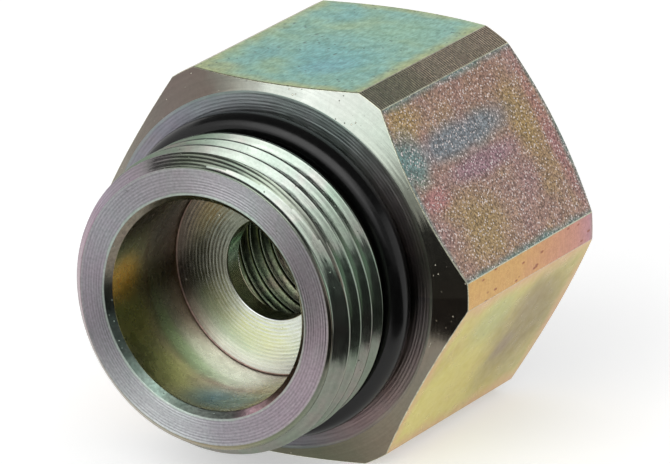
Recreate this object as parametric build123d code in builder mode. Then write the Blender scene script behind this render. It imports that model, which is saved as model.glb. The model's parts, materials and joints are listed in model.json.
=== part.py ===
from build123d import *
import os
from math import cos, radians, tan

# Hydraulic plug: a one-piece turned body with a threaded stud in front, a hexagon behind and a
# smaller threaded port in its back, and the sealing ring that sits behind the stud's thread.
# Sizes are in millimetres. The axis of the body is Y and the stud points to -Y. The origin is on
# the axis, in the plane of the seal face. The plug lies on a flat of its hexagon, so -Z is down.

# Hexagon
across_flats = 27.0
hexagon_length = 20.2
corner_turned_off = 0.54  # how far the six corners are turned back to a cylinder
face_margin = 0.6  # the round end faces stop this far inside the flats
corner_angle = 30.0  # the end chamfers lean this much from the end faces

# Stud
thread_diameter = 21.9  # over the crests of the M22 x 1.5 thread
stud_length = 8.9
lead_chamfer = 1.0
relief_depth = 1.45  # the groove for the ring, below the crests
relief_flank_angle = 60.0  # the groove's front flank, from the axis

# Sealing ring
ring_section = 2.2
ring_side_room = 0.25  # free floor of the groove in front of the ring
ring_seat_gap = 0.02  # between the ring and the metal that it sits on

# Bore in the stud and the passage through the web behind it
bore_diameter = 15.1
bore_depth = 8.73  # at the bore's wall, from the stud's end
bore_mouth_chamfer = 0.45
floor_angle = 6.7  # the floor dips this much towards the passage
passage_diameter = 7.3
passage_length = 1.56

# Port in the back
port_thread_diameter = 13.157  # over the roots of the G 1/4 thread
port_thread_depth = 0.856
port_mouth_room = 0.12  # the countersink reaches this far outside the thread
port_drill_point_angle = 118.0

# Worked out from the sizes above
hexagon_radius = across_flats / 2
corner_radius = hexagon_radius / cos(radians(30)) - corner_turned_off
face_radius = hexagon_radius - face_margin
corner_chamfer_length = (corner_radius - face_radius) * tan(radians(corner_angle))
thread_radius = thread_diameter / 2
relief_radius = thread_radius - relief_depth
relief_floor = ring_section + ring_side_room
relief_end = relief_floor + relief_depth / tan(radians(relief_flank_angle))
bore_radius = bore_diameter / 2
passage_radius = passage_diameter / 2
bore_floor = bore_depth - stud_length
passage_start = bore_floor + (bore_radius - passage_radius) * tan(radians(floor_angle))
passage_end = passage_start + passage_length
port_radius = port_thread_diameter / 2 - port_thread_depth
port_point_slope = tan(radians(90 - port_drill_point_angle / 2))
port_floor = passage_end + (port_radius - passage_radius) * port_point_slope
port_countersink = port_thread_depth + port_mouth_room

with BuildPart() as plug_body:
    # Hexagon bar with a flat on top
    with BuildSketch(Plane.XZ):
        RegularPolygon(radius=hexagon_radius, side_count=6, major_radius=False)
    extrude(amount=-hexagon_length)

    # Its corners are turned round, and chamfered at both ends
    with BuildSketch(Plane.XY):
        with BuildLine():
            Polyline(
                (0, 0),
                (face_radius, 0),
                (corner_radius, corner_chamfer_length),
                (corner_radius, hexagon_length - corner_chamfer_length),
                (face_radius, hexagon_length),
                (0, hexagon_length),
                close=True,
            )
        make_face()
    revolve(axis=Axis.Y, mode=Mode.INTERSECT)

    # Stud, with the lead chamfer of its thread
    with BuildSketch(Plane.XZ):
        Circle(thread_radius)
    extrude(amount=stud_length)
    stud_end = plug_body.faces().sort_by(Axis.Y)[0]
    chamfer(stud_end.edges(), lead_chamfer)

    # Groove behind the thread, which the seal face closes at the back
    with BuildSketch(Plane.XY):
        with BuildLine():
            Polyline(
                (relief_radius, 0),
                (thread_radius, 0),
                (thread_radius, -relief_end),
                (relief_radius, -relief_floor),
                close=True,
            )
        make_face()
    revolve(axis=Axis.Y, mode=Mode.SUBTRACT)

    # Everything bored from both ends: the bore, its dished floor, the passage and the port
    with BuildSketch(Plane.XY):
        with BuildLine():
            Polyline(
                (0, -stud_length),
                (bore_radius, -stud_length),
                (bore_radius, bore_floor),
                (passage_radius, passage_start),
                (passage_radius, passage_end),
                (port_radius, port_floor),
                (port_radius, hexagon_length),
                (0, hexagon_length),
                close=True,
            )
        make_face()
    revolve(axis=Axis.Y, mode=Mode.SUBTRACT)
    bore_mouth = plug_body.faces().sort_by(Axis.Y)[0].edges().sort_by(SortBy.RADIUS)[0]
    chamfer(bore_mouth, bore_mouth_chamfer)
    port_mouth = plug_body.faces().sort_by(Axis.Y)[-1].edges().sort_by(SortBy.RADIUS)[0]
    chamfer(port_mouth, port_countersink)

with BuildPart() as seal_ring:
    # Round section, seated on the groove's floor and against the seal face
    with BuildSketch(Plane.XY):
        with Locations((relief_radius + ring_seat_gap + ring_section / 2, -ring_seat_gap - ring_section / 2)):
            Circle(ring_section / 2)
    revolve(axis=Axis.Y)

plug_body.part.label = "plug_body"
seal_ring.part.label = "seal_ring"

os.makedirs("parts", exist_ok=True)
export_step(plug_body.part, "parts/plug_body.step")
export_step(seal_ring.part, "parts/seal_ring.step")
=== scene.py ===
import cmath
import json
import math

import bpy
from mathutils import Matrix, Vector


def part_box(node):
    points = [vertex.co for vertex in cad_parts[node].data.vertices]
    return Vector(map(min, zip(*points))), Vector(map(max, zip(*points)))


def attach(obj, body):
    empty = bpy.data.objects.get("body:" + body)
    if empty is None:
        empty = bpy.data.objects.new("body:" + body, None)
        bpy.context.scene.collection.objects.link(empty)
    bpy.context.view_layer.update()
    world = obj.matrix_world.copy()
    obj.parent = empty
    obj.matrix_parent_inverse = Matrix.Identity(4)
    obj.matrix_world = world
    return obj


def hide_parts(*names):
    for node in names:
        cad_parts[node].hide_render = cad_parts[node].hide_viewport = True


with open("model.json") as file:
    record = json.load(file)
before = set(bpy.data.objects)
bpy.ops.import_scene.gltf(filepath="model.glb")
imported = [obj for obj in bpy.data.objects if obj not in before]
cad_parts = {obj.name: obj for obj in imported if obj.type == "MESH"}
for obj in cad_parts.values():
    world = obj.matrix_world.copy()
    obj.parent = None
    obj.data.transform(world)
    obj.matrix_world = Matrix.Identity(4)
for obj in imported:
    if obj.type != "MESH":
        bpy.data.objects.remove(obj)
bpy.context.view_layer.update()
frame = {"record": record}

mm = 0.001
lap = 2 * math.pi
print("frame loaded")

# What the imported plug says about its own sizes
mounts = {mount["name"]: mount for mount in frame["record"]["mounts"]}
bodyLow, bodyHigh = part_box("plug_body")
ringLow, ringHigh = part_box("seal_ring")

plug = {
    "toFlat": bodyHigh.z,
    "toCorner": bodyHigh.x,
    "length": bodyHigh.y,
    "faceRadius": bodyHigh.z - 0.6 * mm,  # the round end faces, inside the flats
    "faceLean": math.radians(30),  # corner chamfers, from the end faces
    "studEnd": bodyLow.y,
    "studRadius": mounts["stud_thread"]["dims"]["r_mm"] * mm,
    "leadChamfer": 1.0 * mm,
    "grooveRadius": ringHigh.x - (ringHigh.y - ringLow.y) - 0.02 * mm,
    "grooveFloor": 2.45 * mm,
    "grooveFlank": math.radians(60),
    "boreRadius": mounts["front_bore"]["dims"]["r_mm"] * mm,
    "boreFloor": -0.17 * mm,
    "mouthChamfer": 0.45 * mm,
    "floorDip": math.radians(6.7),
    "passageRadius": 3.65 * mm,
    "passageLength": 1.56 * mm,
    "portRadius": mounts["port_thread"]["dims"]["r_mm"] * mm,
    "portCountersink": 0.976 * mm,
    "drillSlope": math.tan(math.radians(31)),
    "edge": 0.09 * mm,  # most outer edges are broken this much
    "root": 0.13 * mm,
    "cornerBlend": 0.02 * mm,  # where a flat meets a turned corner
    "threadBlend": 0.04 * mm,  # where a thread meets a chamfer or the groove
    "boreMouthEdge": 0.05 * mm,
    "studFaceEdge": 0.06 * mm,
    "portFaceEdge": 0.1 * mm,
    "studThreadEnd": -2.72 * mm,
    "portThreadStart": 4.0 * mm,
    "ringCatch": 0.02 * mm,  # a thread's row this near an end of its band lies on the ring there
    "leadCatch": 0.03 * mm,  # faces this near the lead chamfer have its finish
    "support": (0.07 * mm, 0.25),  # rows beside a rounding, as a length and at most this share
    "sideEdge": math.radians(0.15),  # half the lighter strip between a flat and a corner, a painted highlight along the edge
    "arcSteps": 3,  # rows in each rounding
    "flatSteps": 12,
    "grooves": 9,  # turned into the front face
    "grooveRows": 6,
    "grooveDepth": 0.027 * mm,
}

# Both threads are right-hand: going round from +X to +Z, a crest moves towards the stud's end
studThread = {
    "pitch": 1.5 * mm,
    "crestAtX": -7.77 * mm,  # where one crest crosses the +X side
    "crest": plug["studRadius"],
    "root": plug["studRadius"] - 0.92 * mm,
    "crestHalf": 0.094 * mm,
    "slope": 1.732,
    "crestRound": 0.03 * mm,
    "rootRound": 0.13 * mm,
    "rows": [0, 0.05, 0.065, 0.085, 0.12, 0.18, 0.24, 0.30, 0.35, 0.39, 0.42, 0.45, 0.475, 0.5],
}
portThread = {
    "pitch": 1.337 * mm,
    "crestAtX": 6.13 * mm,
    "crest": plug["portRadius"],
    "root": plug["portRadius"] + 0.856 * mm,
    "crestHalf": 0.111 * mm,
    "slope": 1.921,
    "crestRound": 0.1 * mm,
    "rootRound": 0.12 * mm,
    "rows": [0, 0.07, 0.14, 0.26, 0.40, 0.5],
}


def smoothLess(first, second, width):
    near = max(width - abs(first - second), 0) / width
    return min(first, second) - near * near * width / 4


def smoothMore(first, second, width):
    return -smoothLess(-first, -second, width)


def columnTurns():
    # Angles of the skin's columns, from +X towards +Z, close together beside each corner of the hexagon
    edge = math.acos(plug["toFlat"] / plug["toCorner"])
    beside = [edge + math.radians(step) for step in (-0.7, -0.22, -0.08, 0.08, 0.22, 0.7)]
    flat = [beside[0] * step / plug["flatSteps"] for step in range(plug["flatSteps"])]
    corner = [beside[-1] + (lap / 12 - beside[-1]) * share for share in (0.5, 1.0)]
    half = flat + beside + corner
    across = [-turn for turn in reversed(half[1:])] + half[:-1]
    return [lap / 12 * (2 * sector + 1) + turn for sector in range(6) for turn in across]


def hexagonRadius(turn):
    fromFlat = turn % (lap / 6) - lap / 12
    return smoothLess(plug["toCorner"], plug["toFlat"] / math.cos(fromFlat), plug["cornerBlend"])


def cornerArc(before, corner, after, radius, steps):
    toBefore = (before - corner) / abs(before - corner)
    toAfter = (after - corner) / abs(after - corner)
    half = abs(cmath.phase(toAfter / toBefore)) / 2
    middle = toBefore + toAfter
    centre = corner + middle / abs(middle) * radius / math.sin(half)
    first = corner + toBefore * radius / math.tan(half) - centre
    last = corner + toAfter * radius / math.tan(half) - centre
    sweep = cmath.phase(last / first)
    return [centre + first * cmath.exp(1j * sweep * step / steps) for step in range(steps + 1)]


def grooveCut(share):
    return plug["grooveDepth"] * (0.5 - 0.5 * math.cos(lap * plug["grooves"] * share))


def sectionRows(corners):
    # corners: (radius, along, rounding, finish of its rounding, finish and rows of the stretch behind it)
    points = [complex(corner[0], corner[1]) for corner in corners]
    rows, finishes = [points[0]], []
    for index in range(1, len(corners)):
        stretch, inner = corners[index - 1][4:6]
        if index == len(corners) - 1:
            arc = [points[index]]
        else:
            around = points[index - 1], points[index], points[index + 1]
            arc = cornerArc(*around, corners[index][2], plug["arcSteps"])
        start, end = rows[-1], arc[0]
        support = min(plug["support"][0] / abs(end - start), plug["support"][1])
        steps = [step / (inner - 1) for step in range(inner)]
        cuts = [grooveCut(step) if stretch == "frontFace" else 0 for step in steps]
        shares = [support + (1 - 2 * support) * step for step in steps]
        rows += [start + (end - start) * share + 1j * cut for share, cut in zip(shares, cuts)] + arc
        finishes += [stretch] * (inner + 1) + [corners[index][3]] * (len(arc) - 1)
    return rows, finishes


def outsideCorners(turn):
    # From the groove's front flank over the hexagon to the port's countersink
    hexagon = hexagonRadius(turn)
    lean = (hexagon - plug["faceRadius"]) * math.tan(plug["faceLean"])
    edge, root = plug["edge"], plug["root"]
    mouth = plug["portRadius"] + plug["portCountersink"]
    flankStart = grooveFlankRadius(studBand[1])
    return [
        (flankStart, studBand[1], 0, "", "groove", 2),
        (plug["grooveRadius"], -plug["grooveFloor"], root, "groove", "groove", 3),
        (plug["grooveRadius"], 0, root, "groove", "sealFace", 5),
        (plug["faceRadius"], 0, edge, "sealFace", "cone", 3),
        (hexagon, lean, edge, "edge", "side", 9),
        (hexagon, plug["length"] - lean, edge, "edge", "cone", 3),
        (plug["faceRadius"], plug["length"], edge, "rearFace", "rearFace", 5),
        (mouth, plug["length"], edge, "rearFace", "port", 2),
        (mouth - plug["portFaceEdge"], portBand[1], 0, "", "", 0),
    ]


def insideCorners():
    # From the bottom of the port through the passage and the bore to the stud's end
    edge, root = plug["edge"], plug["root"]
    dip = (plug["boreRadius"] - plug["passageRadius"]) * math.tan(plug["floorDip"])
    passageFront = plug["boreFloor"] + dip
    passageBack = passageFront + plug["passageLength"]
    portFloor = passageBack + (plug["portRadius"] - plug["passageRadius"]) * plug["drillSlope"]
    mouth = plug["boreRadius"] + plug["mouthChamfer"]
    mouthFoot = plug["studEnd"] + plug["mouthChamfer"]
    leadFoot = plug["studRadius"] - plug["leadChamfer"]
    faceRows = plug["grooves"] * plug["grooveRows"] + 1
    return [
        (plug["portRadius"], portBand[0], 0, "", "port", 2),
        (plug["portRadius"], portFloor, root, "port", "port", 3),
        (plug["passageRadius"], passageBack, edge, "passage", "passage", 3),
        (plug["passageRadius"], passageFront, edge, "boreFloor", "boreFloor", 8),
        (plug["boreRadius"], plug["boreFloor"], root, "boreCorner", "boreWall", 8),
        (plug["boreRadius"], mouthFoot, plug["boreMouthEdge"], "boreWall", "boreMouth", 3),
        (mouth, plug["studEnd"], plug["studFaceEdge"], "frontFace", "frontFace", faceRows),
        (leadFoot, plug["studEnd"], edge, "leadChamfer", "leadChamfer", 2),
        (leadRadius(studBand[0]), studBand[0], 0, "", "", 0),
    ]


def leadRadius(along):
    return plug["studRadius"] - plug["leadChamfer"] + along - plug["studEnd"]


def grooveFlankRadius(along):
    return plug["grooveRadius"] + (-plug["grooveFloor"] - along) * math.tan(plug["grooveFlank"])


def threadDepth(thread, turn, along):
    # How far the surface lies from the crests, between nothing and the thread's full depth
    laps = (along - thread["crestAtX"]) / thread["pitch"] + turn / lap
    fromCrest = abs((laps + 0.5) % 1 - 0.5) * thread["pitch"]
    depth = smoothMore(0, (fromCrest - thread["crestHalf"]) * thread["slope"], thread["crestRound"])
    return smoothLess(depth, abs(thread["root"] - thread["crest"]), thread["rootRound"])


def studRadiusAt(turn, along):
    radius = studThread["crest"] - threadDepth(studThread, turn, along)
    radius = smoothLess(radius, leadRadius(along), plug["threadBlend"])
    return smoothLess(radius, grooveFlankRadius(along), plug["threadBlend"])


def portRadiusAt(turn, along):
    fade = min(max((along - portBand[0]) / portThread["pitch"], 0), 1)
    radius = portThread["crest"] + threadDepth(portThread, turn, along) * fade
    countersink = plug["portRadius"] + plug["portCountersink"] - (plug["length"] - along)
    return smoothMore(radius, countersink, plug["threadBlend"])


studBand = (plug["studEnd"] + plug["studFaceEdge"], plug["studThreadEnd"])
portBand = (plug["portThreadStart"], plug["length"] - plug["portFaceEdge"])
turns = columnTurns()


class Skin:
    def __init__(self):
        self.places, self.faces, self.finishes = [], [], []

    def vertex(self, turn, radius, along):
        self.places.append((radius * math.cos(turn), along, radius * math.sin(turn)))
        return len(self.places) - 1

    def face(self, corners, finish):
        corners = [corner for index, corner in enumerate(corners) if corner != corners[index - 1]]
        if len(corners) > 2:
            self.faces.append(corners)
            self.finishes.append(finish)

    def bands(self, cornersAt):
        sections = [sectionRows(cornersAt(turn)) for turn in turns]
        rings = []
        for row in range(len(sections[0][0])):
            points = [section[0][row] for section in sections]
            rings.append([self.vertex(turn, point.real, point.imag) for turn, point in zip(turns, points)])
        for row, finish in enumerate(sections[0][1]):
            for column in range(len(turns)):
                after = (column + 1) % len(turns)
                named = sideFinish(column) if finish == "side" else finish
                near, far = rings[row], rings[row + 1]
                self.face([near[column], near[after], far[after], far[column]], named)
        return rings[0], rings[-1]

    def threadBand(self, low, high, band, thread, radiusAt, finishAt, outside):
        # Rows climb with the helix; a row that has run past an end of the band lies on the ring there
        half = thread["rows"]
        shares = half[:-1] + [1 - share for share in reversed(half[1:])]
        made = {}

        def corner(row, column):
            if column == len(turns):  # after a full turn the row is one pitch nearer the stud's end
                return corner(row - len(shares), 0)
            laps, share = divmod(row, len(shares))
            along = thread["crestAtX"] + (laps + shares[share] - turns[column] / lap) * thread["pitch"]
            if along < band[0] + plug["ringCatch"]:
                return low[column]
            if along > band[1] - plug["ringCatch"]:
                return high[column]
            if (row, column) not in made:
                made[row, column] = self.vertex(turns[column], radiusAt(turns[column], along), along)
            return made[row, column]

        first = math.floor((band[0] - thread["crestAtX"]) / thread["pitch"]) * len(shares)
        last = math.ceil((band[1] - thread["crestAtX"]) / thread["pitch"] + 1) * len(shares)
        for row in range(first, last):
            for column in range(len(turns)):
                near, far = (row, row + 1) if outside else (row + 1, row)
                corners = [corner(near, column), corner(near, column + 1)]
                corners += [corner(far, column + 1), corner(far, column)]
                self.face(corners, finishAt(corners))

    def studFinish(self, corners):
        place = self.places[corners[0]]
        onLead = place[1] < plug["studEnd"] + plug["leadChamfer"]
        onLead = onLead and math.hypot(place[0], place[2]) > leadRadius(place[1]) - plug["leadCatch"]
        return "leadChamfer" if onLead else "studThread"


flatNames = ["flatUpperRight", "flatTop", "flatUpperLeft", "flatLowerLeft", "flatBottom", "flatLowerRight"]
cornerNames = {0: "cornerRight", 1: "cornerTop"}


def sideFinish(column):
    middle = (turns[column] + turns[(column + 1) % len(turns)] + (lap if column == len(turns) - 1 else 0)) / 2
    sector = int(middle // (lap / 6))
    edge = math.acos(plug["toFlat"] / plug["toCorner"])
    fromFlat = middle - lap / 12 * (2 * sector + 1)
    if abs(fromFlat) < edge - plug["sideEdge"]:
        return flatNames[sector]
    if abs(fromFlat) < edge + plug["sideEdge"]:
        return "edge"
    return cornerNames.get(round(middle / (lap / 6)) % 6, "corner")


def makeBody():
    skin = Skin()
    grooveEnd, portMouth = skin.bands(outsideCorners)
    portEnd, leadStart = skin.bands(lambda turn: insideCorners())
    skin.threadBand(leadStart, grooveEnd, studBand, studThread, studRadiusAt, skin.studFinish, True)
    skin.threadBand(portEnd, portMouth, portBand, portThread, portRadiusAt, lambda corners: "port", False)
    mesh = bpy.data.meshes.new("plugBody")
    mesh.from_pydata(skin.places, [], skin.faces)
    names = sorted(set(skin.finishes))
    for name in names:
        mesh.materials.append(finishes[name])
    mesh.polygons.foreach_set("material_index", [names.index(name) for name in skin.finishes])
    mesh.validate()
    mesh.shade_smooth()
    body = bpy.data.objects.new("plugBody", mesh)
    bpy.context.scene.collection.objects.link(body)
    return body


# Small helpers for the node trees; a value may be a number, a colour or another node's socket
def paint(red, green, blue):
    shares = [value / 255 for value in (red, green, blue)]
    return [share / 12.92 if share < 0.04 else ((share + 0.055) / 1.055) ** 2.4 for share in shares] + [1]


def feed(tree, socket, value):
    if isinstance(value, bpy.types.NodeSocket):
        tree.links.new(value, socket)
    else:
        socket.default_value = value


def calc(tree, operation, *values, clamp=False):
    node = tree.nodes.new("ShaderNodeMath")
    node.operation = operation
    node.use_clamp = clamp
    for socket, value in zip(node.inputs, values):
        feed(tree, socket, value)
    return node.outputs[0]


def add(tree, *values):
    return calc(tree, "ADD", *values)


def minus(tree, *values):
    return calc(tree, "SUBTRACT", *values)


def times(tree, *values):
    return calc(tree, "MULTIPLY", *values)


def stretchTo(tree, value, low, high, newLow=0.0, newHigh=1.0, soft=False):
    node = tree.nodes.new("ShaderNodeMapRange")
    node.interpolation_type = "SMOOTHSTEP" if soft else "LINEAR"
    for socket, setting in zip(node.inputs, (value, low, high, newLow, newHigh)):
        feed(tree, socket, setting)
    return node.outputs[0]


def mixColour(tree, share, first, second, mode="MIX"):
    node = tree.nodes.new("ShaderNodeMix")
    node.data_type = "RGBA"
    node.blend_type = mode
    feed(tree, node.inputs[0], share)
    feed(tree, node.inputs[6], first)
    feed(tree, node.inputs[7], second)
    return node.outputs[2]


def cloud(tree, vector, scale, detail=2.0, rough=0.5, twist=0.0):
    node = tree.nodes.new("ShaderNodeTexNoise")
    feed(tree, node.inputs["Vector"], vector)
    for name, value in (("Scale", scale), ("Detail", detail), ("Roughness", rough), ("Distortion", twist)):
        node.inputs[name].default_value = value
    return node.outputs[0]


def dots(tree, vector, scale):
    # Distance to the nearest of the points strewn over the surface
    node = tree.nodes.new("ShaderNodeTexVoronoi")
    feed(tree, node.inputs["Vector"], vector)
    node.inputs["Scale"].default_value = scale
    return node.outputs["Distance"]


def gradient(tree, value, stops):
    node = tree.nodes.new("ShaderNodeValToRGB")
    feed(tree, node.inputs[0], value)
    elements = node.color_ramp.elements
    while len(elements) < len(stops):
        elements.new(0.5)
    for element, (place, colour) in zip(elements, stops.items()):
        element.position = place
        element.color = paint(*colour)
    return node.outputs[0]


def greys(tree, value):
    return gradient(tree, value, {0: (0, 0, 0), 1: (255, 255, 255)})


def vectorOf(tree, x, y, z):
    node = tree.nodes.new("ShaderNodeCombineXYZ")
    for socket, value in zip(node.inputs, (x, y, z)):
        feed(tree, socket, value)
    return node.outputs[0]


def stretched(tree, vector, x, y, z):
    node = tree.nodes.new("ShaderNodeVectorMath")
    node.operation = "MULTIPLY"
    feed(tree, node.inputs[0], vector)
    node.inputs[1].default_value = (x, y, z)
    return node.outputs[0]


# How the plating and the tool marks are made, in millimetres and shares, for every metal surface
wear = {
    "cloudSpan": (0.3, 0.7),  # nearly all values of a cloud lie between these
    "patchDetail": 3.0,
    "patchRough": 0.55,
    "patchTwist": 0.4,
    "turnDrift": 0.05,
    "spotEdge": (1.15, 0.25),  # a spot ends and is full at these shares of its half size
    "spotRagged": 0.8,
    "helixSeam": 0.45,
    "lineDetail": 2.0,
    "lineRough": 0.6,
    "lineTurn": 3.0,  # how soon a tool line changes on its way round
    "grainDetail": 2.0,
    "grainRough": 0.6,
    "grainSpan": (0.36, 0.64),
    "noStretch": (1, 1, 1),
    "markThinning": 0.3,
    "markSpan": (0.45, 0.6),
    "markCore": 0.4,  # a mark is full inside this share of its size
    "glossScale": 1.2,
    "glossDetail": 3.0,
    "brushTurn": 0.25,  # a quarter turn lays the highlight across the rings
    "marginInset": 0.35,  # the rim of a flat at its middle, from the end faces
    "marginBow": 0.014,
    "marginScale": 0.45,
}


def places(tree):
    # Object coordinates in millimetres, and the same as radius and share of a turn round the axis
    source = tree.nodes.new("ShaderNodeTexCoord").outputs["Object"]
    point = stretched(tree, source, 1 / mm, 1 / mm, 1 / mm)
    split = tree.nodes.new("ShaderNodeSeparateXYZ")
    feed(tree, split.inputs[0], point)
    x, y, z = split.outputs
    radius = calc(tree, "SQRT", add(tree, times(tree, x, x), times(tree, z, z)))
    turn = calc(tree, "FRACT", calc(tree, "DIVIDE", calc(tree, "ARCTAN2", z, x), lap))
    # Climb stays the same along the stud's helix; its seam is on the side away from the camera
    lapShare = calc(tree, "FRACT", add(tree, turn, wear["helixSeam"]))
    climb = add(tree, y, times(tree, lapShare, studThread["pitch"] / mm))
    return {"point": point, "x": x, "along": y, "z": z, "radius": radius, "turn": turn, "climb": climb}


def acrossFlat(tree, place, turn):
    # Distance from the middle of the flat whose normal points at this turn
    return minus(tree, times(tree, place["z"], math.cos(turn)), times(tree, place["x"], math.sin(turn)))


def newFinish(name):
    finish = bpy.data.materials.new(name)
    finish.use_nodes = True
    tree = finish.node_tree
    tree.nodes.clear()
    shader = tree.nodes.new("ShaderNodeBsdfPrincipled")
    out = tree.nodes.new("ShaderNodeOutputMaterial")
    tree.links.new(shader.outputs[0], out.inputs[0])
    return finish, tree, shader


def filmColourAndPaintedLight(tree, place, look):
    # Colour of the passivation film, with painted light and shade: wide patches, a colour that changes round
    # the axis with painted highlights and shade in it, one that changes from one end of the surface to the
    # other, on some surfaces with painted shade at a rim, and single spots, some of them painted highlights
    # and shade
    detail = wear["patchDetail"], wear["patchRough"], wear["patchTwist"]
    wide = cloud(tree, place["point"], look["patch"], *detail)
    colour = gradient(tree, stretchTo(tree, wide, *wear["cloudSpan"]), look["film"])
    wobble = times(tree, minus(tree, wide, 0.5), look.get("wobble", 0.0))
    if "around" in look:
        turn = add(tree, place["turn"], times(tree, wobble, wear["turnDrift"]))
        colour = mixColour(tree, look["aroundShare"], colour, gradient(tree, turn, look["around"]))
    if "over" in look:
        axis, low, high = look["overRange"]
        share = stretchTo(tree, add(tree, place[axis], wobble), low, high)
        colour = mixColour(tree, look["overShare"], colour, gradient(tree, share, look["over"]))
    for spot in look.get("spots", []):
        colour = mixColour(tree, spotShare(tree, place, look, spot, wide), colour, paint(*spot["colour"]))
    return colour


def spotShare(tree, place, look, spot, wide):
    # Soft oval; its place and half sizes are counted along the look's own two axes
    squares = []
    for axis, centre, half in zip(look["spotAxes"], spot["at"], spot["half"]):
        far = calc(tree, "DIVIDE", minus(tree, place[axis], centre), half)
        squares.append(times(tree, far, far))
    far = calc(tree, "SQRT", add(tree, *squares))
    ragged = times(tree, minus(tree, wide, 0.5), spot.get("ragged", wear["spotRagged"]))
    return stretchTo(tree, add(tree, far, ragged), *wear["spotEdge"], 0.0, spot["share"], soft=True)


def turnedLines(tree, place, lines):
    # Rings left by the turning tool: even ones, and finer ones of uneven strength
    across, even = place[lines["across"]], lines["even"]
    sides = [calc(tree, "DIVIDE", place[name], place["radius"]) for name in ("x", "z")]
    rounded = [times(tree, side, wear["lineTurn"]) for side in sides]
    vector = vectorOf(tree, times(tree, across, lines["fine"]), *rounded)
    uneven = cloud(tree, vector, 1.0, wear["lineDetail"], wear["lineRough"])
    wave = calc(tree, "SINE", times(tree, across, lap / lines["pitch"]))
    mixed = add(tree, times(tree, wave, even), times(tree, uneven, 2 - 2 * even))
    return minus(tree, mixed, 1 - even)


def markShare(tree, place, marks):
    # Strewn dots; a wide cloud thins them out where sparse is more than nothing
    vector = stretched(tree, place["point"], *marks.get("stretch", wear["noStretch"]))
    thin = cloud(tree, place["point"], marks.get("thinning", wear["markThinning"]))
    thinned = times(tree, stretchTo(tree, thin, *wear["markSpan"]), marks.get("sparse", 0.0))
    level = add(tree, dots(tree, vector, marks["scale"]), thinned)
    return stretchTo(tree, level, marks["size"], marks["size"] * wear["markCore"], soft=True)


def marginShare(tree, place, look):
    # Strongest at the rim of a flat, gone after marginWidth, with a ragged inner border
    half = plug["length"] / 2 / mm
    sideAt = plug["toFlat"] / mm * math.tan(math.acos(plug["toFlat"] / plug["toCorner"]))
    bow = times(tree, times(tree, place["across"], place["across"]), wear["marginBow"])
    toSide = minus(tree, sideAt, calc(tree, "ABSOLUTE", place["across"]))
    fromMiddle = calc(tree, "ABSOLUTE", minus(tree, place["along"], half))
    toEnd = minus(tree, half - wear["marginInset"], fromMiddle)
    nearest = calc(tree, "MINIMUM", toSide, minus(tree, toEnd, bow))
    ragged = minus(tree, cloud(tree, place["point"], wear["marginScale"], wear["patchDetail"]), 0.5)
    nearest = add(tree, nearest, times(tree, ragged, look["marginRagged"]))
    return stretchTo(tree, nearest, 0.0, look["marginWidth"], look["marginShare"], 0.0)


def metalFinish(name, look):
    finish, tree, shader = newFinish(name)
    place = places(tree)
    if "turned" in look:  # a flat of the hexagon
        place["across"] = acrossFlat(tree, place, math.radians(look["turned"]))
    colour = filmColourAndPaintedLight(tree, place, look)
    if "margin" in look:
        colour = mixColour(tree, marginShare(tree, place, look), colour, paint(*look["margin"]))
    grain = look["grain"]
    vector = stretched(tree, place["point"], *grain.get("stretch", wear["noStretch"]))
    rough = cloud(tree, vector, grain["scale"], wear["grainDetail"], wear["grainRough"])
    height = times(tree, rough, grain["height"])
    shade = greys(tree, stretchTo(tree, rough, *wear["grainSpan"]))
    colour = mixColour(tree, grain["share"], colour, shade, "OVERLAY")
    if "lines" in look:
        wave = turnedLines(tree, place, look["lines"])
        shade = greys(tree, stretchTo(tree, wave, -1.0, 1.0, 1.0 - look["lines"]["share"], 1.0))
        colour = mixColour(tree, 1.0, colour, shade, "MULTIPLY")
        height = add(tree, height, times(tree, wave, look["lines"]["height"]))
    for marks in look.get("marks", []):  # pits, pores and scratches, each darker or lighter than the film
        share = markShare(tree, place, marks)
        colour = mixColour(tree, times(tree, share, marks["share"]), colour, paint(*marks["colour"]))
        height = minus(tree, height, times(tree, share, marks["depth"]))
    bump = tree.nodes.new("ShaderNodeBump")
    bump.inputs["Distance"].default_value = mm
    feed(tree, bump.inputs["Height"], height)
    feed(tree, shader.inputs["Normal"], bump.outputs[0])
    feed(tree, shader.inputs["Base Color"], colour)
    shader.inputs["Metallic"].default_value = 1.0
    gloss = cloud(tree, place["point"], wear["glossScale"], wear["glossDetail"])
    feed(tree, shader.inputs["Roughness"], stretchTo(tree, gloss, *wear["cloudSpan"], *look["roughness"]))
    if "brushed" in look:  # the turned rings spread a highlight across themselves
        shader.inputs["Anisotropic"].default_value = look["brushed"]
        shader.inputs["Anisotropic Rotation"].default_value = wear["brushTurn"]
        tangent = tree.nodes.new("ShaderNodeTangent")
        tangent.direction_type = "RADIAL"
        tangent.axis = "Y"
        feed(tree, shader.inputs["Tangent"], tangent.outputs[0])
    return finish


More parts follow.
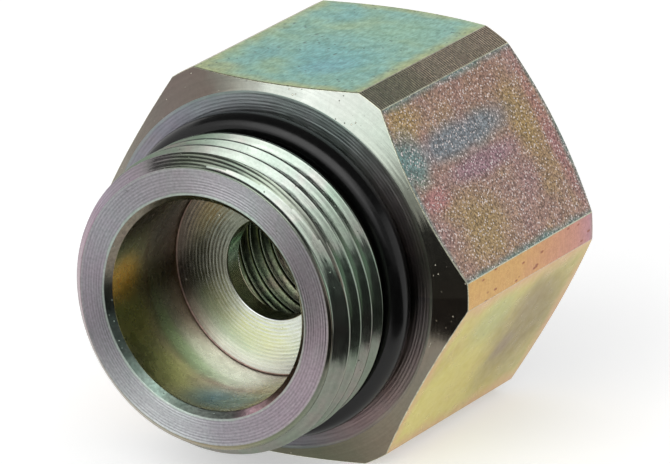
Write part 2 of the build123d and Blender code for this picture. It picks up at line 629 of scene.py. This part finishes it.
looks = {
    "frontFace": {
        "film": {0: (132, 156, 142), 0.4: (146, 144, 146), 0.7: (158, 140, 152), 1: (164, 144, 152)},
        # Round the axis: the lighter stretches near a fifth and from three fifths to three quarters of a turn
        # are a painted sheen; the rest is the film's tint
        "around": {0: (184, 168, 172), 0.09: (158, 154, 154), 0.14: (158, 160, 158), 0.18: (188, 194, 194),
                   0.23: (192, 192, 194), 0.28: (172, 170, 170), 0.33: (168, 168, 170),
                   0.41: (178, 178, 184), 0.48: (168, 160, 168), 0.55: (162, 158, 164),
                   0.62: (194, 200, 200), 0.67: (230, 238, 236), 0.72: (220, 228, 228),
                   0.77: (190, 188, 194), 0.88: (188, 168, 178), 1: (186, 166, 172)},
        "aroundShare": 0.8, "patch": 0.6, "wobble": 0.3,
        "overRange": ("radius", 8.0, 9.95), "overShare": 0.45,
        "over": {0: (158, 182, 160), 0.05: (158, 180, 160), 0.1: (138, 134, 140), 0.88: (138, 134, 140),
                 1: (160, 168, 158)},
        "grain": {"scale": 4.5, "share": 0.12, "height": 0.002},
        "lines": {"across": "radius", "pitch": 1.95 / 9, "even": 0.45, "fine": 5.0, "share": 0.42,
                  "height": 0.006},
        "marks": [{"scale": 0.9, "size": 0.1, "share": 0.5, "colour": (75, 75, 65), "depth": 0.01,
                   "sparse": 0.5}],
        "roughness": (0.32, 0.38), "brushed": 0.85,
    },
    "leadChamfer": {
        "film": {0: (135, 145, 125), 0.5: (150, 150, 142), 1: (168, 145, 152)},
        # Round the axis the film's tint is lighter and darker by stretches, a painted reflection of the
        # surroundings: darkest near the start and the end of the turn
        "around": {0: (128, 116, 98), 0.05: (134, 128, 114), 0.083: (112, 116, 106), 0.125: (126, 134, 122),
                   0.17: (152, 164, 148), 0.21: (118, 132, 118), 0.27: (136, 146, 128),
                   0.32: (155, 148, 152), 0.39: (174, 158, 176), 0.46: (172, 140, 156),
                   0.52: (168, 138, 148), 0.6: (165, 152, 142), 0.67: (172, 162, 132),
                   0.75: (168, 152, 112), 0.83: (132, 140, 112), 0.92: (124, 130, 116), 1: (112, 104, 88)},
        "aroundShare": 0.85, "patch": 0.5, "wobble": 0.8,
        "grain": {"scale": 4.5, "share": 0.06, "height": 0.001},
        "lines": {"across": "along", "pitch": 0.2, "even": 0.3, "fine": 5.0, "share": 0.5, "height": 0.014},
        "marks": [{"scale": 1.6, "size": 0.12, "share": 0.6, "colour": (60, 62, 52), "depth": 0.02,
                   "sparse": 0.4}],
        "roughness": (0.16, 0.26), "brushed": 0.3,
    },
    "studThread": {
        "film": {0: (132, 152, 136), 0.4: (152, 164, 150), 0.65: (160, 160, 154), 1: (184, 158, 162)},
        # Round the axis the film's tint carries painted highlight and shade: lighter near a twentieth of a
        # turn, darker from under three tenths to a third
        "around": {0: (138, 150, 132), 0.045: (164, 188, 168), 0.085: (166, 180, 164),
                   0.125: (140, 158, 144), 0.17: (160, 172, 164), 0.23: (172, 180, 172),
                   0.29: (112, 130, 112), 0.34: (120, 138, 118), 0.55: (150, 150, 136),
                   0.8: (132, 136, 122), 0.94: (122, 130, 114), 1: (118, 128, 112)},
        "aroundShare": 0.65, "patch": 0.35, "wobble": 0.8,
        "grain": {"scale": 4.5, "share": 0.05, "height": 0.001},
        "lines": {"across": "climb", "pitch": 0.25, "even": 0.15, "fine": 5.0, "share": 0.4,
                  "height": 0.012},
        "marks": [{"scale": 2.0, "size": 0.14, "share": 0.4, "colour": (70, 78, 64), "depth": 0.015,
                   "sparse": 0.4}],
        "roughness": (0.15, 0.24), "brushed": 0.3,
    },
    "groove": {
        # Darker than the other metal: painted shade in the undercut beneath the seal ring
        "film": {0: (90, 95, 80), 1: (110, 105, 90)}, "patch": 0.3,
        "grain": {"scale": 5.0, "share": 0.1, "height": 0.003},
        "roughness": (0.3, 0.4),
    },
    "sealFace": {
        "film": {0: (122, 142, 134), 0.4: (132, 138, 140), 0.7: (146, 136, 146), 1: (158, 134, 130)},
        # Round the axis: lighter from a twentieth to a quarter of a turn, painted light that lifts the seal
        # ring's dark reflection; the rest is the film's tint
        "around": {0: (142, 124, 112), 0.06: (186, 168, 160), 0.1: (198, 190, 184), 0.17: (176, 196, 188),
                   0.25: (166, 176, 174), 0.31: (150, 162, 164), 0.36: (158, 158, 172),
                   0.44: (168, 164, 172), 0.78: (136, 136, 140), 0.83: (168, 136, 132),
                   0.9: (158, 128, 114), 1: (112, 102, 92)},
        "aroundShare": 0.75, "patch": 0.4, "wobble": 0.5,
        # Darker towards the inner rim, next to the seal ring: painted shade; greener at the outer rim: film
        # tint
        "overRange": ("radius", 11.4, 12.9), "overShare": 0.3,
        "over": {0: (90, 90, 80), 0.2: (130, 128, 132), 0.85: (132, 134, 138), 0.94: (150, 172, 152),
                 1: (150, 172, 152)},
        "grain": {"scale": 4.5, "share": 0.04, "height": 0.001},
        "lines": {"across": "radius", "pitch": 0.24, "even": 0.15, "fine": 4.0, "share": 0.6,
                  "height": 0.02},
        "roughness": (0.28, 0.36), "brushed": 0.8,
    },
    "rearFace": {
        "film": {0: (128, 150, 132), 0.4: (138, 140, 134), 0.7: (146, 138, 146), 1: (158, 146, 124)},
        "patch": 0.3,
        "grain": {"scale": 4.5, "share": 0.12, "height": 0.002},
        "lines": {"across": "radius", "pitch": 0.24, "even": 0.4, "fine": 4.0, "share": 0.2,
                  "height": 0.006},
        "roughness": (0.2, 0.3), "brushed": 0.5,
    },
    "cone": {
        "film": {0: (142, 148, 134), 0.5: (146, 142, 130), 1: (140, 124, 114)},
        # Round the axis the film's tint carries painted light and shade: darker near a twelfth and from three
        # tenths to a third of a turn, lighter near a quarter
        "around": {0: (160, 150, 132), 0.045: (148, 146, 134), 0.083: (116, 122, 110),
                   0.125: (134, 144, 134), 0.21: (156, 162, 157), 0.25: (160, 166, 158),
                   0.28: (140, 142, 132), 0.31: (118, 106, 99), 0.36: (122, 111, 106),
                   0.42: (140, 134, 124), 0.6: (146, 140, 126), 0.79: (118, 120, 98), 0.85: (142, 132, 114),
                   0.92: (130, 123, 110), 1: (130, 120, 106)},
        "aroundShare": 0.85, "patch": 0.4, "wobble": 0.6,
        "grain": {"scale": 4.0, "share": 0.04, "height": 0.001},
        "lines": {"across": "radius", "pitch": 0.24, "even": 0.1, "fine": 4.5, "share": 0.26,
                  "height": 0.008},
        "marks": [{"scale": 2.2, "size": 0.13, "share": 0.5, "colour": (60, 56, 48), "depth": 0.015,
                   "sparse": 0.45},
                  {"scale": 1.9, "size": 0.12, "share": 0.8, "colour": (235, 230, 210), "depth": 0.03,
                   "sparse": 0.3}],
        "roughness": (0.13, 0.2), "brushed": 0.35,
    },
    "cornerRight": {
        "film": {0: (198, 164, 112), 0.5: (206, 166, 110), 1: (202, 154, 120)}, "patch": 0.3, "wobble": 2.0,
        "overRange": ("along", 0.5, 19.8), "overShare": 0.75,
        "over": {0: (190, 160, 110), 0.06: (202, 162, 98), 0.4: (200, 156, 98), 0.62: (194, 140, 108),
                 0.82: (188, 128, 126), 0.93: (172, 122, 148), 1: (130, 155, 150)},
        "grain": {"scale": 3.5, "share": 0.08, "height": 0.002},
        "lines": {"across": "along", "pitch": 0.26, "even": 0.4, "fine": 4.0, "share": 0.06,
                  "height": 0.002},
        "marks": [{"scale": 1.25, "stretch": (1, 0.6, 1.5), "size": 0.24, "share": 0.85,
                   "colour": (142, 84, 62), "depth": 0.008},
                  {"scale": 2.3, "size": 0.14, "share": 0.4, "colour": (165, 120, 85), "depth": 0.004,
                   "sparse": 0.3}],
        "roughness": (0.24, 0.34),
    },
    "cornerTop": {
        "film": {0: (172, 168, 142), 0.5: (182, 170, 148), 1: (186, 162, 146)}, "patch": 0.3, "wobble": 2.0,
        "overRange": ("along", 0.5, 19.8), "overShare": 0.7,
        "over": {0: (140, 146, 124), 0.3: (150, 150, 124), 0.5: (184, 172, 150), 1: (190, 170, 148)},
        "grain": {"scale": 4.5, "share": 0.25, "height": 0.006},
        "lines": {"across": "along", "pitch": 0.26, "even": 0.7, "fine": 4.0, "share": 0.3,
                  "height": 0.006},
        "marks": [{"scale": 1.5, "size": 0.12, "share": 0.5, "colour": (200, 200, 180), "depth": 0.02,
                   "sparse": 0.5}],
        "roughness": (0.2, 0.3),
    },
    "corner": {
        "film": {0: (160, 150, 122), 0.5: (170, 156, 122), 1: (180, 150, 128)}, "patch": 0.3,
        "grain": {"scale": 4.5, "share": 0.15, "height": 0.004},
        "lines": {"across": "along", "pitch": 0.26, "even": 0.6, "fine": 4.0, "share": 0.2,
                  "height": 0.004},
        "roughness": (0.2, 0.3),
    },
    "edge": {
        # Lighter than the flats and corners beside it: a painted highlight along the rounded edges
        "film": {0: (185, 192, 172), 1: (198, 190, 165)}, "patch": 0.5,
        "grain": {"scale": 4.0, "share": 0.3, "height": 0.003},
        "roughness": (0.25, 0.35),
    },
    "boreMouth": {
        "film": {0: (100, 110, 100), 0.5: (110, 108, 96), 1: (125, 108, 108)},
        # Round the axis the film's tint carries painted light and shade: dark from under a half to seven
        # tenths of a turn, light from four fifths to nine tenths
        "around": {0: (125, 115, 95), 0.08: (110, 104, 84), 0.15: (130, 132, 108), 0.25: (150, 146, 122),
                   0.33: (122, 114, 100), 0.45: (118, 109, 97), 0.48: (92, 88, 78), 0.53: (78, 90, 84),
                   0.62: (70, 86, 80), 0.66: (104, 122, 114), 0.7: (84, 98, 90), 0.78: (128, 136, 130),
                   0.83: (186, 152, 162), 0.92: (196, 158, 150), 1: (125, 115, 95)},
        "aroundShare": 0.85, "patch": 0.6, "wobble": 0.8,
        "grain": {"scale": 4.0, "share": 0.2, "height": 0.004},
        "marks": [{"scale": 2.4, "size": 0.16, "share": 0.7, "colour": (175, 190, 180), "depth": 0.02,
                   "sparse": 0.35}],
        "roughness": (0.16, 0.26),
    },
    "boreWall": {
        "film": {0: (150, 152, 118), 0.5: (158, 150, 116), 1: (146, 146, 128)}, "patch": 0.25,
        "wobble": 0.5,
        "overRange": ("along", -8.45, -0.17), "overShare": 0.85,
        "over": {0: (150, 150, 112), 0.25: (160, 154, 108), 0.45: (152, 142, 112), 0.53: (132, 112, 94),
                 0.58: (150, 142, 126), 0.75: (146, 144, 130), 0.9: (156, 142, 128), 1: (136, 118, 106)},
        "spotAxes": ("turn", "along"),
        # Spots: the two dark ones, at three eighths and near a half of a turn, are painted shade; the bright
        # gold one and the pale one near the floor are painted highlights; the yellow, teal and green ones are
        # film tint
        "spots": [
            {"at": (0.375, -5.5), "half": (0.07, 6.0), "colour": (92, 88, 74), "share": 0.9, "ragged": 0.3},
            {"at": (0.49, -7.2), "half": (0.05, 2.6), "colour": (238, 182, 84), "share": 0.85,
             "ragged": 0.4},
            {"at": (0.56, -7.0), "half": (0.05, 3.0), "colour": (190, 184, 104), "share": 0.6,
             "ragged": 0.4},
            {"at": (0.755, -6.6), "half": (0.075, 2.8), "colour": (66, 112, 122), "share": 0.95,
             "ragged": 0.4},
            {"at": (0.645, -6.6), "half": (0.05, 2.6), "colour": (190, 192, 122), "share": 0.7},
            {"at": (0.7, -1.8), "half": (0.11, 2.4), "colour": (200, 204, 180), "share": 0.7},
            {"at": (0.62, -3.4), "half": (0.12, 1.2), "colour": (128, 158, 108), "share": 0.6},
            {"at": (0.45, -2.0), "half": (0.1, 2.6), "colour": (92, 80, 70), "share": 0.85},
        ],
        "grain": {"scale": 3.0, "share": 0.06, "height": 0.0015},
        "lines": {"across": "along", "pitch": 0.5, "even": 0.1, "fine": 1.6, "share": 0.12,
                  "height": 0.001},
        "roughness": (0.22, 0.32), "brushed": 0.4,
    },
    "boreCorner": {
        "film": {0: (116, 98, 92), 1: (134, 112, 102)}, "patch": 0.4,
        "grain": {"scale": 4.0, "share": 0.2, "height": 0.003},
        "roughness": (0.28, 0.36),
    },
    "boreFloor": {
        "film": {0: (212, 218, 208), 0.5: (222, 224, 216), 1: (222, 216, 208)},
        # Round the axis: near-white from three fifths to four fifths of a turn is a painted highlight; darker
        # from a third to a little past a half is painted shade
        "around": {0: (190, 194, 176), 0.33: (104, 112, 94), 0.42: (92, 96, 82), 0.47: (92, 90, 76),
                   0.53: (100, 98, 84), 0.6: (176, 180, 172), 0.66: (234, 240, 244), 0.79: (238, 244, 250),
                   1: (190, 194, 176)},
        "aroundShare": 0.92, "patch": 0.4,
        # Darker towards the outer rim, beside the bore's corner: painted shade
        "overRange": ("radius", 3.65, 7.55), "overShare": 0.25,
        "over": {0: (190, 196, 176), 0.6: (214, 216, 196), 0.88: (222, 204, 196), 1: (150, 116, 98)},
        "grain": {"scale": 4.0, "share": 0.1, "height": 0.002},
        "lines": {"across": "radius", "pitch": 0.26, "even": 0.25, "fine": 4.5, "share": 0.34,
                  "height": 0.007},
        "marks": [{"scale": 1.0, "size": 0.09, "share": 0.8, "colour": (235, 235, 225), "depth": 0.01,
                   "sparse": 0.6}],
        "roughness": (0.18, 0.26), "brushed": 0.5,
    },
    "passage": {
        "film": {0: (120, 132, 110), 1: (132, 126, 104)}, "patch": 0.5, "wobble": 0.2,
        # Round the axis: the near-white stretch from about four tenths to over a half of a turn is a painted
        # gleam of reflected light; the rest is the film's tint
        "around": {0: (170, 170, 140), 0.4: (130, 140, 118), 0.44: (210, 252, 232), 0.49: (236, 244, 252),
                   0.54: (228, 220, 186), 0.6: (190, 184, 156), 0.75: (214, 210, 180), 1: (170, 170, 140)},
        "aroundShare": 0.9,
        "grain": {"scale": 4.0, "share": 0.03, "height": 0.0005},
        "roughness": (0.1, 0.16),
    },
    "port": {
        # Darker than the other metal: painted shade inside the port
        "film": {0: (84, 104, 82), 0.5: (104, 116, 92), 1: (112, 106, 92)}, "patch": 0.4,
        "grain": {"scale": 5.0, "share": 0.25, "height": 0.004},
        "lines": {"across": "along", "pitch": 0.3, "even": 0.2, "fine": 5.0, "share": 0.3, "height": 0.004},
        "roughness": (0.16, 0.26),
    },
}

# Flats of the hexagon, named by where their normals point
looks.update({
    "flatUpperRight": {
        "turned": 30, "film": {0: (162, 138, 104), 0.45: (156, 128, 114), 1: (156, 126, 122)},
        "patch": 0.25,
        "spotAxes": ("across", "along"),
        "spots": [
            {"at": (-3.8, 6.0), "half": (3.4, 5.5), "colour": (160, 138, 92), "share": 0.75},
            {"at": (5.2, 3.0), "half": (2.0, 3.2), "colour": (164, 140, 90), "share": 0.75},
            {"at": (1.2, 16.2), "half": (5.5, 2.3), "colour": (158, 134, 86), "share": 0.8},
            {"at": (5.4, 12.0), "half": (2.2, 5.5), "colour": (150, 118, 104), "share": 0.6},
            {"at": (0.2, 9.5), "half": (1.2, 6.0), "colour": (146, 116, 134), "share": 0.7},
            {"at": (2.5, 8.0), "half": (1.5, 8.5), "colour": (122, 130, 136), "share": 0.95, "ragged": 1.1},
            {"at": (2.6, 1.8), "half": (2.6, 2.4), "colour": (104, 138, 136), "share": 0.8},
            {"at": (-0.6, 2.4), "half": (1.1, 2.2), "colour": (168, 116, 120), "share": 0.7},
            {"at": (0.0, 18.6), "half": (7.0, 0.9), "colour": (166, 112, 118), "share": 0.5},
        ],
        "margin": (96, 132, 130), "marginWidth": 0.6, "marginRagged": 0.9, "marginShare": 0.8,
        "grain": {"scale": 5.2, "share": 0.5, "height": 0.012},
        "marks": [{"scale": 4.6, "size": 0.43, "share": 0.8, "colour": (244, 232, 228), "depth": -0.008,
                   "sparse": 0.14, "thinning": 2.2},
                  {"scale": 5.6, "size": 0.34, "share": 0.6, "colour": (84, 68, 60), "depth": 0.008,
                   "thinning": 1.1}],
        "roughness": (0.26, 0.38),
    },
    "flatTop": {
        "turned": 90, "film": {0: (136, 194, 180), 0.5: (144, 196, 172), 1: (160, 200, 162)}, "patch": 0.3,
        "spotAxes": ("across", "along"),
        "spots": [
            {"at": (-1.2, 7.0), "half": (4.5, 6.5), "colour": (118, 190, 188), "share": 0.8},
            {"at": (-1.5, 5.5), "half": (2.2, 2.6), "colour": (112, 182, 196), "share": 0.5},
            {"at": (3.6, 16.6), "half": (1.6, 2.6), "colour": (122, 192, 192), "share": 0.6},
            {"at": (3.8, 6.0), "half": (1.6, 3.5), "colour": (124, 190, 188), "share": 0.6},
            {"at": (5.2, 1.8), "half": (2.4, 1.8), "colour": (176, 186, 122), "share": 0.7},
            {"at": (-6.8, 8.0), "half": (1.2, 6.0), "colour": (172, 184, 126), "share": 0.6},
            {"at": (-2.0, 14.5), "half": (3.0, 3.5), "colour": (152, 204, 172), "share": 0.5},
        ],
        "margin": (188, 196, 130), "marginWidth": 1.2, "marginRagged": 2.0, "marginShare": 0.8,
        "grain": {"scale": 4.6, "stretch": (1.0, 0.35, 1.0), "share": 0.2, "height": 0.002},
        "marks": [{"scale": 1.7, "size": 0.2, "share": 0.8, "colour": (72, 104, 96), "depth": 0.01,
                   "sparse": 0.5, "thinning": 0.28},
                  {"scale": 1.0, "stretch": (1, 0.35, 1), "size": 0.13, "share": 0.7,
                   "colour": (80, 108, 98), "depth": 0.01, "sparse": 0.4}],
        "roughness": (0.28, 0.38),
    },
    "flatUpperLeft": {
        "turned": 150, "film": {0: (150, 172, 150), 0.5: (162, 162, 138), 1: (160, 150, 150)},
        "patch": 0.25,
        "margin": (170, 168, 118), "marginWidth": 1.3, "marginRagged": 2.0, "marginShare": 0.7,
        "grain": {"scale": 3.5, "share": 0.1, "height": 0.002},
        "marks": [{"scale": 1.1, "size": 0.1, "share": 0.7, "colour": (70, 84, 74), "depth": 0.01,
                   "sparse": 0.6}],
        "roughness": (0.26, 0.36),
    },
    "flatLowerLeft": {
        "turned": 210, "film": {0: (180, 164, 116), 0.5: (176, 150, 130), 1: (156, 154, 144)},
        "patch": 0.25,
        "margin": (150, 160, 140), "marginWidth": 1.2, "marginRagged": 1.6, "marginShare": 0.7,
        "grain": {"scale": 4.4, "share": 0.6, "height": 0.03},
        "roughness": (0.24, 0.38),
    },
    "flatBottom": {
        "turned": 270, "film": {0: (138, 164, 152), 0.5: (158, 168, 136), 1: (178, 170, 120)},
        "patch": 0.25,
        "margin": (172, 168, 118), "marginWidth": 1.4, "marginRagged": 2.0, "marginShare": 0.7,
        "grain": {"scale": 3.5, "share": 0.1, "height": 0.002},
        "marks": [{"scale": 0.8, "stretch": (1, 0.35, 1), "size": 0.09, "share": 0.6,
                   "colour": (90, 92, 76), "depth": 0.01, "sparse": 0.5}],
        "roughness": (0.26, 0.36),
    },
    "flatLowerRight": {
        "turned": 330, "film": {0: (206, 198, 104), 0.5: (204, 192, 98), 1: (198, 180, 96)}, "patch": 0.2,
        "spotAxes": ("across", "along"),
        "spots": [
            {"at": (-3.5, 5.0), "half": (5.0, 6.5), "colour": (216, 206, 112), "share": 0.7},
            {"at": (3.6, 7.5), "half": (2.6, 4.0), "colour": (174, 178, 112), "share": 0.7},
            {"at": (0.5, 15.0), "half": (7.0, 6.5), "colour": (142, 122, 58), "share": 0.9},
            {"at": (-0.8, 12.4), "half": (1.6, 1.8), "colour": (136, 112, 90), "share": 0.6},
            {"at": (3.5, 13.0), "half": (2.6, 3.4), "colour": (146, 124, 80), "share": 0.5},
            {"at": (-4.5, 16.8), "half": (1.8, 3.0), "colour": (168, 158, 92), "share": 0.5},
        ],
        "margin": (212, 166, 122), "marginWidth": 1.5, "marginRagged": 1.8, "marginShare": 0.85,
        "grain": {"scale": 2.5, "share": 0.04, "height": 0.0008},
        "marks": [{"scale": 0.7, "size": 0.1, "share": 0.4, "colour": (120, 104, 76), "depth": 0.003,
                   "sparse": 0.5}],
        "roughness": (0.26, 0.36),
    },
})

finishes = {name: metalFinish(name, look) for name, look in looks.items()}
print("finishes made")

body = makeBody()
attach(body, "root")
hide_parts("plug_body")
print("plug body made:", sum(len(face.vertices) - 2 for face in body.data.polygons), "triangles")

# Seal ring
seal = {
    "section": (ringHigh.y - ringLow.y) / 2,
    "around": 288,
    "across": 56,
    "colour": (6, 6, 6),
    "dust": (32, 34, 32),
    "dustCloud": (3.0, 4.0, 0.7),  # scale, detail and roughness
    "dustSpan": (0.55, 0.8),
    "dustShare": 0.5,
    "roughness": (0.17, 0.25),
    "roughnessCloud": (2.0, 3.0),
    "gloss": 0.32,
    "skinScale": 9.0,
    "skinHeight": 0.002,
}


def makeSeal():
    centreRadius = ringHigh.x - seal["section"]
    centreAlong = (ringHigh.y + ringLow.y) / 2
    skin = Skin()
    rings = []
    for step in range(seal["around"]):
        turn = lap * step / seal["around"]
        ring = []
        for side in range(seal["across"]):
            angle = lap * side / seal["across"]
            radius = centreRadius + seal["section"] * math.cos(angle)
            ring.append(skin.vertex(turn, radius, centreAlong + seal["section"] * math.sin(angle)))
        rings.append(ring)
    for step in range(seal["around"]):
        near, far = rings[step], rings[(step + 1) % seal["around"]]
        for side in range(seal["across"]):
            after = (side + 1) % seal["across"]
            skin.face([near[side], far[side], far[after], near[after]], "rubber")
    mesh = bpy.data.meshes.new("sealRing")
    mesh.from_pydata(skin.places, [], skin.faces)
    mesh.shade_smooth()
    ring = bpy.data.objects.new("sealRing", mesh)
    bpy.context.scene.collection.objects.link(ring)
    return ring


def rubberFinish():
    finish, tree, shader = newFinish("sealRubber")
    point = places(tree)["point"]
    dust = stretchTo(tree, cloud(tree, point, *seal["dustCloud"]), *seal["dustSpan"], 0.0, seal["dustShare"])
    colour = mixColour(tree, dust, paint(*seal["colour"]), paint(*seal["dust"]))
    feed(tree, shader.inputs["Base Color"], colour)
    gloss = cloud(tree, point, *seal["roughnessCloud"])
    feed(tree, shader.inputs["Roughness"], stretchTo(tree, gloss, *wear["cloudSpan"], *seal["roughness"]))
    shader.inputs["Specular IOR Level"].default_value = seal["gloss"]
    bump = tree.nodes.new("ShaderNodeBump")
    bump.inputs["Distance"].default_value = mm
    feed(tree, bump.inputs["Height"], times(tree, cloud(tree, point, seal["skinScale"]), seal["skinHeight"]))
    feed(tree, shader.inputs["Normal"], bump.outputs[0])
    return finish


sealRing = makeSeal()
sealRing.data.materials.append(rubberFinish())
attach(sealRing, "root")
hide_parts("seal_ring")
print("seal ring made")

# Floor, cards and lights; distances in metres, angles in degrees from +X towards +Y
studio = {
    "floorSize": 6.0,
    "floorColour": 0.82,
    "floorGlow": 0.45,
    "worldFill": 0.55,
    "roughness": 0.9,
    "cardColour": 0.02,
    "blackGlow": 0.03,
    "ceilingHeight": 0.55,
    "ceilingSize": 1.9,
    "ceilingFront": -0.25,
    "ceilingGlow": 0.12,
    # where the white paper ends and the dark table goes on, to the right of and before the plug
    "paperEnd": [(0.030, 0.004), (-0.030, -0.116)],
    "darkReach": 0.75,
    "darkSteps": 12,
    "tableLift": 0.1 * mm,
    "darkTable": (-105, -12),
    "darkWall": (-100, -45),
    "darkWallTop": 6,
    "greyWall": {"from": -50, "to": -14, "low": -3, "high": 30, "glow": 0.4, "distance": 0.7},
    "softboxes": [
        {"from": -120, "to": -54, "low": 19, "high": 62, "distance": 0.5, "radiance": 1.0},
        {"from": -107, "to": -66, "low": 25, "high": 58, "distance": 0.5, "radiance": 1.0},
        {"from": -138, "to": -112, "low": 22, "high": 46, "distance": 0.5, "radiance": 0.6},
    ],
}


def seenShare(tree):
    # 1 for what the camera, gloss and glass see, 0 for what lights a surface
    rays = tree.nodes.new("ShaderNodeLightPath")
    seen = calc(tree, "ADD", rays.outputs["Is Camera Ray"], rays.outputs["Is Glossy Ray"], clamp=True)
    return calc(tree, "ADD", seen, rays.outputs["Is Transmission Ray"], clamp=True)


def backdropFinish(name, colour, glow):
    finish, tree, shader = newFinish(name)
    shader.inputs["Base Color"].default_value = (colour, colour, colour, 1)
    shader.inputs["Roughness"].default_value = studio["roughness"]
    shader.inputs["Specular IOR Level"].default_value = 0.0
    shader.inputs["Emission Color"].default_value = (1, 1, 1, 1)
    feed(tree, shader.inputs["Emission Strength"], times(tree, seenShare(tree), glow))
    return finish


def card(name, corners, finish):
    mesh = bpy.data.meshes.new(name)
    mesh.from_pydata(corners, [], [list(range(len(corners)))])
    mesh.materials.append(finish)
    piece = bpy.data.objects.new(name, mesh)
    bpy.context.scene.collection.objects.link(piece)
    return piece


def glossOnly(piece):
    piece.visible_camera = piece.visible_diffuse = piece.visible_shadow = piece.visible_transmission = False
    return piece


def towards(azimuth, elevation):
    turn, rise = math.radians(azimuth), math.radians(elevation)
    return Vector((math.cos(turn) * math.cos(rise), math.sin(turn) * math.cos(rise), math.sin(rise)))


def rimPoints(first, last, reach):
    steps = studio["darkSteps"]
    return [towards(first + (last - first) * step / steps, 0) * reach for step in range(steps + 1)]


def softbox(name, box):
    # A rectangle that fills the stated angles as seen from the plug
    data = bpy.data.lights.new(name, "AREA")
    data.shape = "RECTANGLE"
    data.size = 2 * box["distance"] * math.tan(math.radians(box["to"] - box["from"]) / 2)
    data.size_y = 2 * box["distance"] * math.tan(math.radians(box["high"] - box["low"]) / 2)
    data.energy = box["radiance"] * math.pi * data.size * data.size_y
    light = bpy.data.objects.new(name, data)
    aim = towards((box["from"] + box["to"]) / 2, (box["low"] + box["high"]) / 2)
    light.location = aim * box["distance"]
    light.rotation_euler = (-aim).to_track_quat("-Z", "Y").to_euler()
    light.visible_camera = False
    bpy.context.scene.collection.objects.link(light)


def makeStage():
    half, level = studio["floorSize"] / 2, bodyLow.z
    floor = [(-half, -half, level), (half, -half, level), (half, half, level), (-half, half, level)]
    card("floor", floor, backdropFinish("floorPaper", studio["floorColour"], studio["floorGlow"]))
    black = backdropFinish("blackCard", studio["cardColour"], studio["blackGlow"])
    half, height, front = studio["ceilingSize"] / 2, studio["ceilingHeight"], studio["ceilingFront"]
    ceiling = [(-half, front, height), (half, front, height), (half, half, height), (-half, half, height)]
    grey = backdropFinish("ceilingGrey", studio["cardColour"], studio["ceilingGlow"])
    glossOnly(card("ceilingCard", ceiling, grey))
    wall = studio["greyWall"]
    sides = [("from", "low"), ("to", "low"), ("to", "high"), ("from", "high")]
    corners = [tuple(towards(wall[turn], wall[rise]) * wall["distance"]) for turn, rise in sides]
    glossOnly(card("greyWall", corners, backdropFinish("greyCard", studio["cardColour"], wall["glow"])))
    reach, table = studio["darkReach"], level + studio["tableLift"]
    top = math.tan(math.radians(studio["darkWallTop"])) * reach
    tableCorners = [(x, y, table) for x, y in studio["paperEnd"]]
    tableCorners += [(foot.x, foot.y, table) for foot in rimPoints(*studio["darkTable"], reach)]
    glossOnly(card("darkTable", tableCorners, black))
    rim = rimPoints(*studio["darkWall"], reach)
    for index, (foot, after) in enumerate(zip(rim, rim[1:])):
        low = [(foot.x, foot.y, level), (after.x, after.y, level)]
        high = [(after.x, after.y, top), (foot.x, foot.y, top)]
        glossOnly(card("darkWall%d" % index, low + high, black))
    world = bpy.data.worlds.new("studio")
    world.use_nodes = True
    bpy.context.scene.world = world
    tree = world.node_tree
    tree.nodes.clear()
    background = tree.nodes.new("ShaderNodeBackground")
    background.inputs["Color"].default_value = (1, 1, 1, 1)
    strength = stretchTo(tree, seenShare(tree), 0.0, 1.0, studio["worldFill"], 1.0)
    feed(tree, background.inputs["Strength"], strength)
    out = tree.nodes.new("ShaderNodeOutputWorld")
    tree.links.new(background.outputs[0], out.inputs[0])
    for index, box in enumerate(studio["softboxes"]):
        softbox("softbox%d" % index, box)


makeStage()
print("stage set")

# Camera
shot = {
    "azimuth": math.radians(30.7685),
    "elevation": math.radians(18.4784),
    "roll": math.radians(-1.0115),
    "target": Vector((3.4766, 3.0232, 2.4513)) * mm,
    "distance": 561.59 * mm,
    "lens": 436.317,
    "sensor": 36,
    "clip": (0.01, 20),
}


def makeCamera():
    azimuth, elevation = shot["azimuth"], shot["elevation"]
    flat = math.cos(elevation)
    forward = Vector((-math.sin(azimuth) * flat, math.cos(azimuth) * flat, -math.sin(elevation)))
    level = forward.cross(Vector((0, 0, 1))).normalized()
    upright = level.cross(forward)
    right = level * math.cos(shot["roll"]) + upright * math.sin(shot["roll"])
    up = right.cross(forward)
    data = bpy.data.cameras.new("camera")
    data.lens, data.sensor_width = shot["lens"], shot["sensor"]
    data.clip_start, data.clip_end = shot["clip"]
    camera = bpy.data.objects.new("camera", data)
    stand = Matrix.Translation(shot["target"] - forward * shot["distance"])
    camera.matrix_world = stand @ Matrix((right, up, -forward)).transposed().to_4x4()
    bpy.context.scene.collection.objects.link(camera)
    bpy.context.scene.camera = camera


makeCamera()
bpy.context.scene.view_settings.view_transform = "Standard"
print("camera set")
